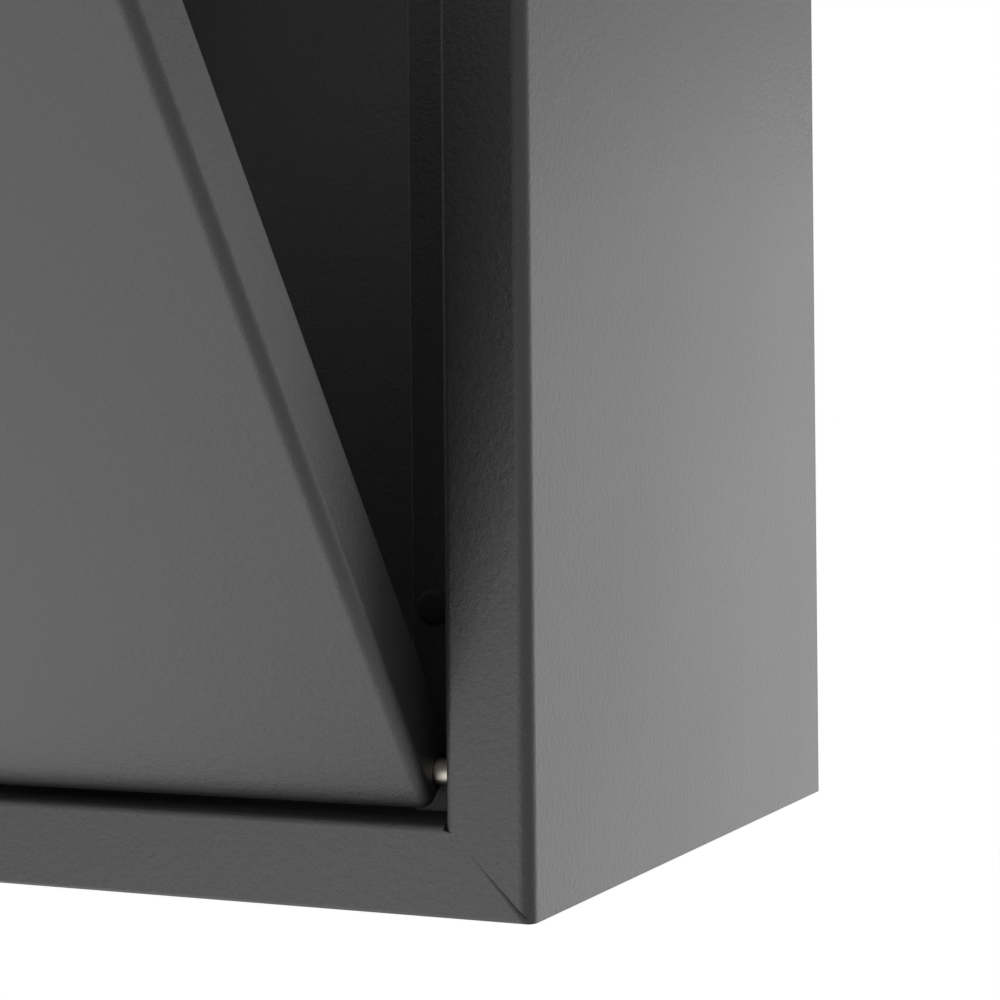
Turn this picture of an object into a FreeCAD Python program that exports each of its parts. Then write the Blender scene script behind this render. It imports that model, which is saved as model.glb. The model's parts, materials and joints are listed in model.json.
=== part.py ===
"""Wall safe with a drop-front door: a folded steel box whose door leaf tilts out about two pins at its foot.

Frame: X to the right, Y into the wall, Z up, millimetres. The origin is the centre of the four wall bolts,
on the plane of the back. The door leaf stands open, resting on its two quadrant stays.
"""
import FreeCAD, Part

import math
import os
import re

import Sketcher

SIZES = {
    # box
    "width": 360, "height": 400, "depth": 217, "sheet": 2, "flange": 20, "bend": 3, "inner_bend": 2,
    "bottom_bend": 0.8, "stop_width": 16,
    "bolt_span_x": 240, "bolt_span_z": 280, "bolt_hole": 9, "doubler": 44, "doubler_sheet": 3,
    "mat_sheet": 3, "mat_margin": 1.5, "bumper": 8, "bumper_thick": 1.4, "bumper_gap": 0.3, "bumper_inset": 40,
    # door leaf
    "leaf_gap": 5, "leaf_inset": 0.3, "leaf_thick": 15.5, "leaf_sheet": 1.5, "leaf_bend": 3,
    "leaf_back_bend": 1.2, "open_angle": 36.5, "rib_width": 34, "rib_sheet": 1.2, "rib_margin": 16,
    "rib_low": 90, "rib_high": 185,
    # hinge
    "hinge_setback": 8.1, "hinge_wall": 0.5, "pin": 6, "pin_play": 0.05, "pin_chamfer": 0.6,
    "mouth_play": 1, "boss": 12, "boss_length": 12, "block_length": 14, "block_rise": 16, "pin_grip": 12,
    # quadrant stays
    "stay_radius": 240, "stay_width": 16, "stay_sheet": 2, "stay_inboard": 6, "foot_width": 14,
    "foot_height": 40, "guide_sheet": 2, "guide_height": 46, "slot_play": 1.5, "guide_inboard": 12,
    "stay_pin": 4, "roller": 10, "roller_length": 5, "roller_gap": 0.3, "stay_tail": 9,
    "rivet": 3.2, "rivet_head": 6, "rivet_rise": 1.2, "rivet_span": 30,
    # lock
    "lock_drop": 50, "barrel": 18, "barrel_wall": 3, "barrel_stand": 3.1, "rim": 25, "rim_rise": 2,
    "nut_across": 24, "nut_sheet": 3, "plug_play": 0.05, "key_slot": 2, "key_height": 7,
    "key_reach": 14, "key_neck": 9, "bow": 22, "tail_square": 6,
    "crank_sheet": 3, "crank_gap": 0.3, "crank_hub": 14, "crank_radius": 9, "crank_pin": 6,
    "crank_turn": 90, "crank_play": 0.45, "pin_stand": 4.2,
    "bar_sheet": 3, "bar_height": 20, "bar_gap": 0.5, "bar_length": 150,
    "bolt": 8, "bolt_pitch": 120, "bolt_play": 0.05, "bolt_below_lip": 2,
    "guide_block": 16, "guide_block_rise": 12, "guide_block_drop": 6,
}

doc = FreeCAD.newDocument("wall_safe")
sheet = doc.addObject("Spreadsheet::Sheet", "sizes")
for row, (alias, value) in enumerate(SIZES.items(), 1):
    sheet.set("A%d" % row, alias)
    sheet.set("B%d" % row, str(value))
    sheet.setAlias("B%d" % row, alias)
doc.recompute()

# Places worked out from the sizes, as expressions in their names.
HALF_W = "(width / 2)"
HALF_H = "(height / 2)"
FRONT = "(-depth)"
OPENING_X = "(width / 2 - flange)"
OPENING_Z = "(height / 2 - flange)"
LIP_FRONT = "(-depth + leaf_inset + leaf_thick + bumper_gap + bumper_thick)"
LIP_BACK = "(%s + sheet)" % LIP_FRONT
LIP_X = "(width / 2 - flange - stop_width)"
LIP_Z = "(height / 2 - flange - stop_width)"
LEAF_X = "(width / 2 - flange - leaf_gap)"
LEAF_Z = "(height / 2 - flange - leaf_gap)"
LEAF_FRONT = "(-depth + leaf_inset)"
LEAF_BACK = "(-depth + leaf_inset + leaf_thick)"
HINGE_Y = "(-depth + leaf_inset + hinge_setback)"
HINGE_Z = "(-height / 2 + flange + leaf_gap + leaf_sheet + hinge_wall + pin / 2)"
STAY_X = "(width / 2 - flange - stop_width - stay_inboard)"
GUIDE_BACK = "(%s + guide_sheet)" % LIP_BACK
LOCK_Z = "(%s - lock_drop)" % LEAF_Z
BARREL_END = "(%s + barrel_stand)" % LEAF_BACK
PLUG = "(barrel - 2 * barrel_wall)"
CRANK_Y = "(%s + crank_gap)" % BARREL_END
BAR_Y = "(%s + crank_sheet + bar_gap)" % CRANK_Y
CRANK_DROP = "(crank_radius * sin(crank_turn / 2))"
CRANK_REACH = "(crank_radius * cos(crank_turn / 2))"
BAR_Z = "(%s - %s)" % (LOCK_Z, CRANK_DROP)
BOLT_Y = "(%s + bar_sheet / 2)" % BAR_Y
BOLT_TOP = "(%s - bolt_below_lip)" % LIP_Z

SIDES = (("left", "-1"), ("right", "1"))
parts = []


def named(text):
    """The expression with each size's name led back to its cell."""
    return re.sub(r"[A-Za-z_]\w*", lambda m: "sizes." + m.group() if m.group() in SIZES else m.group(), str(text))


def value(text):
    """The number that an expression gives now."""
    return float(sheet.evalExpression(named(text)))


def vector(point):
    return "vector(%s)" % "; ".join(named(p) for p in point)


def part(obj, label, in_leaf=False):
    """Keep an object as a sub-part. One that belongs to the leaf is turned open about the hinge line."""
    if in_leaf and obj.TypeId in ("Part::Cylinder", "Part::Box"):
        obj = group(obj)
    obj.Label = label
    if in_leaf:
        hinge = vector(("0", HINGE_Y, HINGE_Z))
        turn = "rotation(vector(1; 0; 0); sizes.open_angle)"
        obj.setExpression("Placement", "placement(vector(0; 0; 0); %s; %s)" % (turn, hinge))
    parts.append(obj)
    return obj


def box(low, size):
    """A block from its low corner and its size."""
    obj = doc.addObject("Part::Box", "block")
    for name, length in zip(("Length", "Width", "Height"), size):
        obj.setExpression(name, named(length))
    obj.setExpression("Placement", "placement(%s; rotation(vector(0; 0; 1); 0))" % vector(low))
    return obj


TURNS = {"x": "rotation(vector(0; 1; 0); 90)", "y": "rotation(vector(1; 0; 0); -90)", "z": "rotation(vector(0; 0; 1); 0)"}


def rod(axis, start, length, diameter):
    """A cylinder that starts at a point and runs along +X, +Y or +Z."""
    obj = doc.addObject("Part::Cylinder", "rod")
    obj.setExpression("Radius", named("(%s) / 2" % diameter))
    obj.setExpression("Height", named(length))
    obj.setExpression("Placement", "placement(%s; %s)" % (vector(start), TURNS[axis]))
    return obj


def fuse(*shapes):
    obj = doc.addObject("Part::MultiFuse", "joined")
    obj.Shapes = list(shapes)
    return obj


def cut(base, *tools):
    obj = doc.addObject("Part::Cut", "cut")
    obj.Base = base
    obj.Tool = tools[0] if len(tools) == 1 else fuse(*tools)
    return obj


def group(*shapes):
    """Separate solids that share one node."""
    obj = doc.addObject("Part::Compound", "group")
    obj.Links = list(shapes)
    return obj


def new_sketch(body, role):
    sketch = body.newObject("Sketcher::SketchObject", "outline")
    plane = [o for o in body.Origin.OriginFeatures if o.Role == role][0]
    sketch.AttachmentSupport = [(plane, "")]
    sketch.MapMode = "FlatFace"
    return sketch


def add_loop(sketch, points):
    """A closed polygon whose every corner is bound to the sizes."""
    first = sketch.GeometryCount
    count = len(points)
    corners = [FreeCAD.Vector(value(u), value(v), 0) for u, v in points]
    for i in range(count):
        sketch.addGeometry(Part.LineSegment(corners[i], corners[(i + 1) % count]), False)
    for i in range(count):
        sketch.addConstraint(Sketcher.Constraint("Coincident", first + i, 2, first + (i + 1) % count, 1))
    for i, (u, v) in enumerate(points):
        for kind, text, now in (("DistanceX", u, corners[i].x), ("DistanceY", v, corners[i].y)):
            index = sketch.addConstraint(Sketcher.Constraint(kind, -1, 1, first + i, 1, now))
            sketch.setExpression("Constraints[%d]" % index, named(text))


def pad(body, sketch, length, midplane=False, backwards=False):
    feature = body.newObject("PartDesign::Pad", "pad")
    feature.Profile = sketch
    feature.setExpression("Length", named(length))
    feature.Midplane = midplane
    feature.Reversed = backwards
    doc.recompute()
    return feature


def pocket_through(body, sketch):
    """Cut an outline right through, both ways."""
    feature = body.newObject("PartDesign::Pocket", "pocket")
    feature.Profile = sketch
    feature.Type = "ThroughAll"
    feature.Midplane = True
    doc.recompute()
    return feature


def round_edges(body, feature, radius, wanted):
    """Round the edges whose middle passes the test."""
    names = ["Edge%d" % i for i, e in enumerate(feature.Shape.Edges, 1) if wanted(e.CenterOfMass)]
    fillet = body.newObject("PartDesign::Fillet", "bend")
    fillet.Base = (feature, names)
    fillet.setExpression("Radius", named(radius))
    doc.recompute()
    return fillet


def near(a, b):
    return abs(a - b) < 1e-4


def folded_profile(out, along_lip):
    """Section of a folded wall: wall, front flange, return and, where asked for, the stop lip.

    out gives the outward distances in words, as an expression of how far in from the outer face.
    """
    wall_out, wall_in = out("0"), out("sheet")
    return_in, return_out = out("flange"), out("flange - sheet")
    points = [(wall_out, "0"), (wall_out, FRONT), (return_in, FRONT)]
    if along_lip:
        lip = out("flange + stop_width")
        points += [(return_in, LIP_FRONT), (lip, LIP_FRONT), (lip, LIP_BACK), (return_out, LIP_BACK)]
    else:
        points += [(return_in, LIP_BACK), (return_out, LIP_BACK)]
    points += [(return_out, FRONT + " + sheet"), (wall_in, FRONT + " + sheet"), (wall_in, "0")]
    return points


# --- box -----------------------------------------------------------------------------------------------------

def side_panel(side, sign):
    """Side wall with its flange, return and stop lip, mitred to the top and bottom walls."""
    body = doc.addObject("PartDesign::Body", "side_panel")
    sketch = new_sketch(body, "XY_Plane")
    add_loop(sketch, folded_profile(lambda d: "%s * (width / 2 - (%s))" % (sign, d), True))
    wall = pad(body, sketch, "height", midplane=True)
    outer, inner, front = (value("%s * %s" % (sign, HALF_W)), value("%s * %s" % (sign, OPENING_X)), value(FRONT))
    wall = round_edges(body, wall, "bend", lambda c: near(c.x, outer) and near(c.y, front))
    wall = round_edges(body, wall, "inner_bend", lambda c: near(c.x, inner) and near(c.y, front) and near(c.z, 0))
    ends = new_sketch(body, "XZ_Plane")
    for end in ("-1", "1"):
        corner = [(HALF_W, HALF_H), (OPENING_X, OPENING_Z), (LIP_X + " - 5", OPENING_Z),
                  (LIP_X + " - 5", HALF_H + " + 5"), (HALF_W, HALF_H + " + 5")]
        add_loop(ends, [("%s * (%s)" % (sign, u), "%s * (%s)" % (end, v)) for u, v in corner])
    pocket_through(body, ends)
    start = OPENING_X + " - 1" if sign == "1" else "-(%s) - sheet - 1" % OPENING_X
    holes = [rod("x", (start, HINGE_Y, HINGE_Z), "sheet + 2", "pin")]
    holes += [rod("y", (x, LIP_FRONT + " - 1", z), "sheet + 2", "rivet") for x, z in guide_rivet_places(sign)]
    part(cut(body, *holes), "side_panel_" + side)


def guide_rivet_places(sign):
    """Rivets of a stay guide, on the middle of the stop lip."""
    x = "%s * (%s + stop_width / 2)" % (sign, LIP_X)
    return [(x, "%s + stay_radius + %s * rivet_span / 2" % (HINGE_Z, end)) for end in ("-1", "1")]


def cross_panel(label, end, along_lip):
    """Top or bottom wall, folded as the sides are and mitred to them."""
    body = doc.addObject("PartDesign::Body", label)
    sketch = new_sketch(body, "YZ_Plane")
    profile = folded_profile(lambda d: "%s * (height / 2 - (%s))" % (end, d), along_lip)
    add_loop(sketch, [(y, z) for z, y in profile])
    wall = pad(body, sketch, "width", midplane=True)
    outer, inner, front = (value("%s * %s" % (end, HALF_H)), value("%s * %s" % (end, OPENING_Z)), value(FRONT))
    wall = round_edges(body, wall, "bottom_bend", lambda c: near(c.z, outer) and near(c.y, front))
    wall = round_edges(body, wall, "inner_bend", lambda c: near(c.z, inner) and near(c.y, front) and near(c.x, 0))
    ends = new_sketch(body, "XZ_Plane")
    low = LIP_Z + " - 5" if along_lip else OPENING_Z + " - 5"
    for sign in ("-1", "1"):
        corner = [(HALF_W, HALF_H), (OPENING_X, OPENING_Z)]
        corner += [(LIP_X, OPENING_Z), (LIP_X, low)] if along_lip else [(OPENING_X, low)]
        corner += [(HALF_W + " + 5", low), (HALF_W + " + 5", HALF_H)]
        add_loop(ends, [("%s * (%s)" % (sign, u), "%s * (%s)" % (end, v)) for u, v in corner])
    pocket_through(body, ends)
    part(body, label)


def wall_bolt_places():
    return [("%s * bolt_span_x / 2" % i, "%s * bolt_span_z / 2" % k) for i in ("-1", "1") for k in ("-1", "1")]


def back_panel():
    """Back sheet between the walls, with the wall-bolt holes, and a doubler plate inside each hole."""
    plate = box(("-%s + sheet" % HALF_W, "-sheet", "-%s + sheet" % HALF_H),
                ("width - 2 * sheet", "sheet", "height - 2 * sheet"))
    holes = [rod("y", (x, "-sheet - 1", z), "sheet + 2", "bolt_hole") for x, z in wall_bolt_places()]
    part(cut(plate, *holes), "back_panel")
    plates = []
    for x, z in wall_bolt_places():
        low = ("%s - doubler / 2" % x, "-sheet - doubler_sheet", "%s - doubler / 2" % z)
        plate = box(low, ("doubler", "doubler_sheet", "doubler"))
        hole = rod("y", (x, "-sheet - doubler_sheet - 1", z), "doubler_sheet + 2", "bolt_hole")
        plates.append(cut(plate, hole))
    part(group(*plates), "wall_bolt_doublers")


def floor_mat():
    low = ("-%s + sheet + mat_margin" % HALF_W, "%s + mat_margin" % LIP_BACK, "-%s + sheet" % HALF_H)
    size = ("width - 2 * (sheet + mat_margin)", "-%s - sheet - doubler_sheet - 2 * mat_margin" % LIP_BACK, "mat_sheet")
    part(box(low, size), "floor_mat")


def leaf_bumpers():
    """Rubber discs on the stop lips, which the shut leaf meets."""
    discs = []
    for _, sign in SIDES:
        for end in ("-1", "1"):
            x = "%s * (%s + %s) / 2" % (sign, LIP_X, LEAF_X)
            z = "%s * (%s - bumper_inset)" % (end, LEAF_Z)
            discs.append(rod("y", (x, LIP_FRONT + " - bumper_thick", z), "bumper_thick", "bumper"))
    part(group(*discs), "leaf_bumpers")


# --- hinge ---------------------------------------------------------------------------------------------------

def mirrored_start(sign, near_end, length):
    """Where a rod along +X starts so that it covers the same stretch on either side."""
    return near_end if sign == "1" else "-(%s) - (%s)" % (near_end, length)


def hinge_side(side, sign):
    """Boss welded in the box, pin held in it, and the bored block in the leaf that turns on the pin."""
    boss_in = "%s + sheet" % OPENING_X
    start = mirrored_start(sign, boss_in, "boss_length")
    boss = rod("x", (start, HINGE_Y, HINGE_Z), "boss_length", "boss")
    part(cut(boss, rod("x", (start + " - 1", HINGE_Y, HINGE_Z), "boss_length + 2", "pin")), "hinge_boss_" + side)

    pin_in = "%s - leaf_sheet - pin_grip" % LEAF_X
    length = "leaf_sheet + pin_grip + leaf_gap + sheet + boss_length"
    pin = doc.addObject("Part::Chamfer", "pin")
    pin.Base = rod("x", (mirrored_start(sign, pin_in, length), HINGE_Y, HINGE_Z), length, "pin")
    chamfer = SIZES["pin_chamfer"]
    doc.recompute()
    ends = [i for i, e in enumerate(pin.Base.Shape.Edges, 1) if e.Closed]
    pin.Edges = [(i, chamfer, chamfer) for i in ends]
    part(pin, "hinge_pin_" + side)

    block_in = "%s - leaf_sheet - block_length" % LEAF_X
    start = mirrored_start(sign, block_in, "block_length")
    low = (start, "%s + leaf_sheet" % LEAF_FRONT, "-%s + leaf_sheet" % LEAF_Z)
    block = box(low, ("block_length", "leaf_thick - 2 * leaf_sheet", "block_rise"))
    bore = rod("x", (start + " - 1", HINGE_Y, HINGE_Z), "block_length + 2", "pin + 2 * pin_play")
    part(cut(block, bore), "hinge_block_" + side, in_leaf=True)


# --- door leaf -----------------------------------------------------------------------------------------------

def leaf_skin():
    """Folded pan: the face and four returns, with the pin mouths and the lock hole."""
    body = doc.addObject("PartDesign::Body", "leaf_pan")
    face = new_sketch(body, "XY_Plane")
    add_loop(face, [("-" + LEAF_X, LEAF_FRONT), (LEAF_X, LEAF_FRONT), (LEAF_X, LEAF_BACK), ("-" + LEAF_X, LEAF_BACK)])
    solid = pad(body, face, "2 * " + LEAF_Z, midplane=True)
    front, back, x, z = value(LEAF_FRONT), value(LEAF_BACK), value(LEAF_X), value(LEAF_Z)

    def rim(at):
        return lambda c: near(c.y, at) and (near(abs(c.x), x) or near(abs(c.z), z))

    solid = round_edges(body, solid, "leaf_bend", rim(front))
    solid = round_edges(body, solid, "leaf_back_bend", rim(back))
    inner = (("-%s + leaf_sheet" % LEAF_X, "%s + leaf_sheet" % LEAF_FRONT, "-%s + leaf_sheet" % LEAF_Z),
             ("2 * %s - 2 * leaf_sheet" % LEAF_X, "leaf_thick", "2 * %s - 2 * leaf_sheet" % LEAF_Z))
    tools = [box(*inner)]
    for _, sign in SIDES:
        start = mirrored_start(sign, "%s - leaf_sheet - 1" % LEAF_X, "leaf_sheet + 2")
        tools.append(rod("x", (start, HINGE_Y, HINGE_Z), "leaf_sheet + 2", "pin + 2 * mouth_play"))
    tools.append(rod("y", ("0", LEAF_FRONT + " - 1", LOCK_Z), "leaf_sheet + 2", "barrel"))
    part(cut(body, *tools), "leaf_skin", in_leaf=True)


def foot_rivet_places(sign):
    """Rivets of a stay's foot."""
    x = "%s * (%s - stay_sheet / 2 - foot_width / 2)" % (sign, STAY_X)
    return [(x, "%s + stay_radius + %s * rivet_span / 2" % (HINGE_Z, end)) for end in ("-1", "1")]


def leaf_liner():
    """Inner sheet that closes the pan, pierced for the lock and the rivets."""
    low = ("-%s + leaf_sheet" % LEAF_X, "%s - leaf_sheet" % LEAF_BACK, "-%s + leaf_sheet" % LEAF_Z)
    plate = box(low, ("2 * %s - 2 * leaf_sheet" % LEAF_X, "leaf_sheet", "2 * %s - 2 * leaf_sheet" % LEAF_Z))
    start = "%s - leaf_sheet - 1" % LEAF_BACK
    holes = [rod("y", ("0", start, LOCK_Z), "leaf_sheet + 2", "barrel")]
    for _, sign in SIDES:
        holes += [rod("y", (x, start, z), "leaf_sheet + 2", "rivet") for x, z in foot_rivet_places(sign)]
    part(cut(plate, *holes), "leaf_liner", in_leaf=True)


def leaf_rib(label, rise):
    """Channel across the inside of the leaf, its web on the face and its feet on the liner."""
    body = doc.addObject("PartDesign::Body", label)
    sketch = new_sketch(body, "YZ_Plane")
    web, feet = "%s + leaf_sheet" % LEAF_FRONT, "%s - leaf_sheet" % LEAF_BACK
    low = "-%s + %s" % (LEAF_Z, rise)
    high = "%s + rib_width" % low
    add_loop(sketch, [(web, low), (feet, low), (feet, low + " + rib_sheet"),
                      (web + " + rib_sheet", low + " + rib_sheet"), (web + " + rib_sheet", high + " - rib_sheet"),
                      (feet, high + " - rib_sheet"), (feet, high), (web, high)])
    pad(body, sketch, "2 * (%s - rib_margin)" % LEAF_X, midplane=True)
    part(body, label, in_leaf=True)


# --- quadrant stays ------------------------------------------------------------------------------------------

def rivets(places, front, length):
    """Shanks with a round head on their far end."""
    solids = []
    for x, z in places:
        shank = rod("y", (x, front, z), length, "rivet")
        head = rod("y", (x, "%s + %s" % (front, length), z), "rivet_rise", "rivet_head")
        solids.append(fuse(shank, head))
    return solids


def stay_angles():
    """Angles from the upright of the stay's start, its roller and its end, with the leaf shut, in degrees."""
    radius = value("stay_radius")
    start = math.degrees(math.asin(value("%s - %s + stay_sheet" % (LEAF_BACK, HINGE_Y)) / (radius + value("stay_width") / 2)))
    roller_y = value("%s - %s + roller_gap + roller / 2" % (GUIDE_BACK, HINGE_Y))
    roller = math.degrees(math.asin(roller_y / radius)) + value("open_angle")
    end = roller + math.degrees(value("stay_tail") / radius)
    return start, roller, end


def ring_point(radius, angle):
    """Point on an arc about the hinge line, at an angle from the upright towards the back."""
    turn = math.radians(angle)
    return FreeCAD.Vector(0, value(HINGE_Y) + radius * math.sin(turn), value(HINGE_Z) + radius * math.cos(turn))


def stay(side, sign):
    """Quadrant plate about the hinge line, bent over at its front into a foot on the liner."""
    start, roller, end = stay_angles()
    inner, outer = value("stay_radius - stay_width / 2"), value("stay_radius + stay_width / 2")
    middle = (start + end) / 2
    arcs = [Part.Arc(*[ring_point(r, a) for a in (start, middle, end)]).toShape() for r in (inner, outer)]
    caps = [Part.makeLine(ring_point(inner, a), ring_point(outer, a)) for a in (start, end)]
    face = Part.Face(Part.Wire([arcs[0], caps[1], arcs[1], caps[0]]))
    sheet_x = value("stay_sheet")
    low_x = value("%s * %s" % (sign, STAY_X)) - sheet_x / 2
    plate = face.extrude(FreeCAD.Vector(sheet_x, 0, 0))
    plate.translate(FreeCAD.Vector(low_x, 0, 0))
    foot_width, foot_height = value("foot_width + stay_sheet"), value("foot_height")
    foot_x = low_x + sheet_x - foot_width if sign == "1" else low_x
    foot_z = value("%s + stay_radius - foot_height / 2" % HINGE_Z)
    foot = Part.makeBox(foot_width, sheet_x, foot_height, FreeCAD.Vector(foot_x, value(LEAF_BACK), foot_z))
    shape = plate.fuse(foot)
    bore = ring_point(value("stay_radius"), roller)
    shape = shape.cut(Part.makeCylinder(value("stay_pin") / 2, sheet_x + 2,
                                        FreeCAD.Vector(low_x - 1, bore.y, bore.z), FreeCAD.Vector(1, 0, 0)))
    for x, z in foot_rivet_places(sign):
        place = FreeCAD.Vector(value(x), value(LEAF_BACK) - 1, value(z))
        shape = shape.cut(Part.makeCylinder(value("rivet") / 2, sheet_x + 2, place, FreeCAD.Vector(0, 1, 0)))
    obj = doc.addObject("Part::Feature", "stay")
    obj.Shape = shape.removeSplitter()
    part(obj, "stay_" + side, in_leaf=True)

    half = value("stay_sheet / 2 + roller_length")
    centre = FreeCAD.Vector(low_x + sheet_x / 2, bore.y, bore.z)
    along = FreeCAD.Vector(1, 0, 0)
    pin = doc.addObject("Part::Feature", "stay_pin")
    pin.Shape = Part.makeCylinder(value("stay_pin") / 2, 2 * half, centre - along * half, along)
    part(pin, "stay_pin_" + side, in_leaf=True)
    rings = []
    for begin in (-half, sheet_x / 2):
        length = value("roller_length")
        ring = Part.makeCylinder(value("roller") / 2, length, centre + along * begin, along)
        rings.append(ring.cut(Part.makeCylinder(value("stay_pin") / 2, length, centre + along * begin, along)))
    rollers = doc.addObject("Part::Feature", "stay_rollers")
    rollers.Shape = Part.makeCompound(rings)
    part(rollers, "stay_rollers_" + side, in_leaf=True)


def stay_guide(side, sign):
    """Slotted plate on the back of the stop lip. The stay runs through it and its rollers stop on it."""
    inner = "%s - guide_inboard" % STAY_X
    width = "stop_width + stay_inboard + guide_inboard"
    middle = "%s + stay_radius" % HINGE_Z
    plate = box((mirrored_start(sign, inner, width), LIP_BACK, middle + " - guide_height / 2"),
                (width, "guide_sheet", "guide_height"))
    slot_width = "stay_sheet + 2 * slot_play"
    slot_height = "stay_width + 2 * slot_play"
    slot = box((mirrored_start(sign, "%s - (%s) / 2" % (STAY_X, slot_width), slot_width), LIP_BACK + " - 1",
                middle + " - (%s) / 2" % slot_height), (slot_width, "guide_sheet + 2", slot_height))
    holes = [rod("y", (x, LIP_BACK + " - 1", z), "guide_sheet + 2", "rivet") for x, z in guide_rivet_places(sign)]
    part(cut(plate, slot, *holes), "stay_guide_" + side)


# --- lock ----------------------------------------------------------------------------------------------------

def lock():
    """Barrel and rim fixed in the leaf, the plug with its crank and key, and the bolts that the crank lifts."""
    length = "leaf_thick + barrel_stand"
    barrel = rod("y", ("0", LEAF_FRONT, LOCK_Z), length, "barrel")
    bore = rod("y", ("0", LEAF_FRONT + " - 1", LOCK_Z), length + " + 2", PLUG)
    part(cut(barrel, bore), "lock_barrel", in_leaf=True)
    rim = rod("y", ("0", LEAF_FRONT + " - rim_rise", LOCK_Z), "rim_rise", "rim")
    rim_bore = rod("y", ("0", LEAF_FRONT + " - rim_rise - 1", LOCK_Z), "rim_rise + 2", PLUG)
    part(cut(rim, rim_bore), "lock_rim", in_leaf=True)

    nut = doc.addObject("Part::Prism", "nut")
    nut.Polygon = 6
    nut.setExpression("Circumradius", named("nut_across / (2 * cos(30))"))
    nut.setExpression("Height", named("nut_sheet"))
    nut.setExpression("Placement", "placement(%s; %s)" % (vector(("0", LEAF_BACK, LOCK_Z)), TURNS["y"]))
    hole = rod("y", ("0", LEAF_BACK + " - 1", LOCK_Z), "nut_sheet + 2", "barrel")
    part(cut(nut, hole), "lock_nut", in_leaf=True)

    plug_length = "leaf_thick + barrel_stand + crank_gap + rim_rise"
    face = LEAF_FRONT + " - rim_rise"
    plug = rod("y", ("0", face, LOCK_Z), plug_length, "%s - 2 * plug_play" % PLUG)
    tail = box(("-tail_square / 2", CRANK_Y, LOCK_Z + " - tail_square / 2"),
               ("tail_square", "crank_sheet", "tail_square"))
    key_way = box(("-key_slot / 2", face, LOCK_Z + " - key_height / 2"), ("key_slot", "key_reach", "key_height"))
    part(cut(fuse(plug, tail), key_way), "lock_plug", in_leaf=True)

    blade = box(("-key_slot / 2", face + " - key_neck", LOCK_Z + " - key_height / 2"),
                ("key_slot", "key_neck + key_reach", "key_height"))
    bow = rod("x", ("-key_slot / 2", face + " - key_neck - bow / 3", LOCK_Z), "key_slot", "bow")
    eye = rod("x", ("-key_slot / 2 - 1", face + " - key_neck - bow / 2", LOCK_Z), "key_slot + 2", "bow / 4")
    part(cut(fuse(blade, bow), eye), "key", in_leaf=True)

    pin_x, pin_z = CRANK_REACH, BAR_Z
    hub = rod("y", ("0", CRANK_Y, LOCK_Z), "crank_sheet", "crank_hub")
    end = rod("y", (pin_x, CRANK_Y, pin_z), "crank_sheet", "crank_pin + 3")
    square = box(("-tail_square / 2", CRANK_Y + " - 1", LOCK_Z + " - tail_square / 2"),
                 ("tail_square", "crank_sheet + 2", "tail_square"))
    part(cut(fuse(hub, end), square), "lock_crank", in_leaf=True)
    part(rod("y", (pin_x, CRANK_Y + " + crank_sheet", pin_z), "pin_stand", "crank_pin"), "crank_pin", in_leaf=True)

    bar = box(("-bar_length / 2", BAR_Y, BAR_Z + " - bar_height / 2"), ("bar_length", "bar_sheet", "bar_height"))
    slot_height = "crank_pin + 2 * crank_play"
    slot = box((pin_x + " - crank_pin / 2 - crank_play", BAR_Y + " - 1", "%s - (%s) / 2" % (BAR_Z, slot_height)),
               ("crank_pin + 2 * crank_play + crank_radius - " + CRANK_REACH, "bar_sheet + 2", slot_height))
    part(cut(bar, slot), "bolt_bar", in_leaf=True)

    foot = BAR_Z + " + bar_height / 2"
    for side, sign in SIDES:
        x = "%s * bolt_pitch / 2" % sign
        part(rod("z", (x, BOLT_Y, foot), "%s - (%s)" % (BOLT_TOP, foot), "bolt"), "lock_bolt_" + side, in_leaf=True)
        top = BOLT_TOP + " - guide_block_drop"
        low = ("%s - guide_block / 2" % x, LEAF_BACK, top + " - guide_block_rise")
        block = box(low, ("guide_block", "%s - %s + bolt / 2 + 3" % (BOLT_Y, LEAF_BACK), "guide_block_rise"))
        bore = rod("z", (x, BOLT_Y, top + " - guide_block_rise - 1"), "guide_block_rise + 2", "bolt + 2 * bolt_play")
        part(cut(block, bore), "bolt_guide_" + side, in_leaf=True)


for side_name, side_sign in SIDES:
    side_panel(side_name, side_sign)
cross_panel("top_panel", "1", True)
cross_panel("bottom_panel", "-1", False)
back_panel()
floor_mat()
leaf_bumpers()
leaf_skin()
leaf_liner()
leaf_rib("leaf_rib_lower", "rib_low")
leaf_rib("leaf_rib_upper", "rib_high")
for side_name, side_sign in SIDES:
    hinge_side(side_name, side_sign)
    stay(side_name, side_sign)
    stay_guide(side_name, side_sign)
lock()
guide_places = [place for _, s in SIDES for place in guide_rivet_places(s)]
part(group(*rivets(guide_places, LIP_FRONT, "sheet + guide_sheet")), "guide_rivets")
foot_places = [place for _, s in SIDES for place in foot_rivet_places(s)]
foot_rivets = rivets(foot_places, LEAF_BACK + " - leaf_sheet", "leaf_sheet + stay_sheet")
part(group(*foot_rivets), "stay_rivets", in_leaf=True)

doc.recompute()
for obj in doc.Objects:
    if "Invalid" in obj.State or "Error" in obj.State:
        raise RuntimeError("%s (%s) failed: %s" % (obj.Name, obj.Label, obj.State))
for obj in parts:
    if obj.Shape.isNull() or not obj.Shape.isValid() or not obj.Shape.Solids:
        raise RuntimeError("%s has no sound shape" % obj.Label)

os.makedirs("parts", exist_ok=True)
for obj in parts:
    obj.Shape.exportStep(os.path.join("parts", obj.Label + ".step"))
print(len(parts), "sub-parts")
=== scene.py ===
"""Wall safe with a drop-front door leaf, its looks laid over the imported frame.

Metres. X to the right, Y into the wall, Z up. Pieces of the leaf are worked out shut and then turned open.
"""
import json
import math

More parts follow.
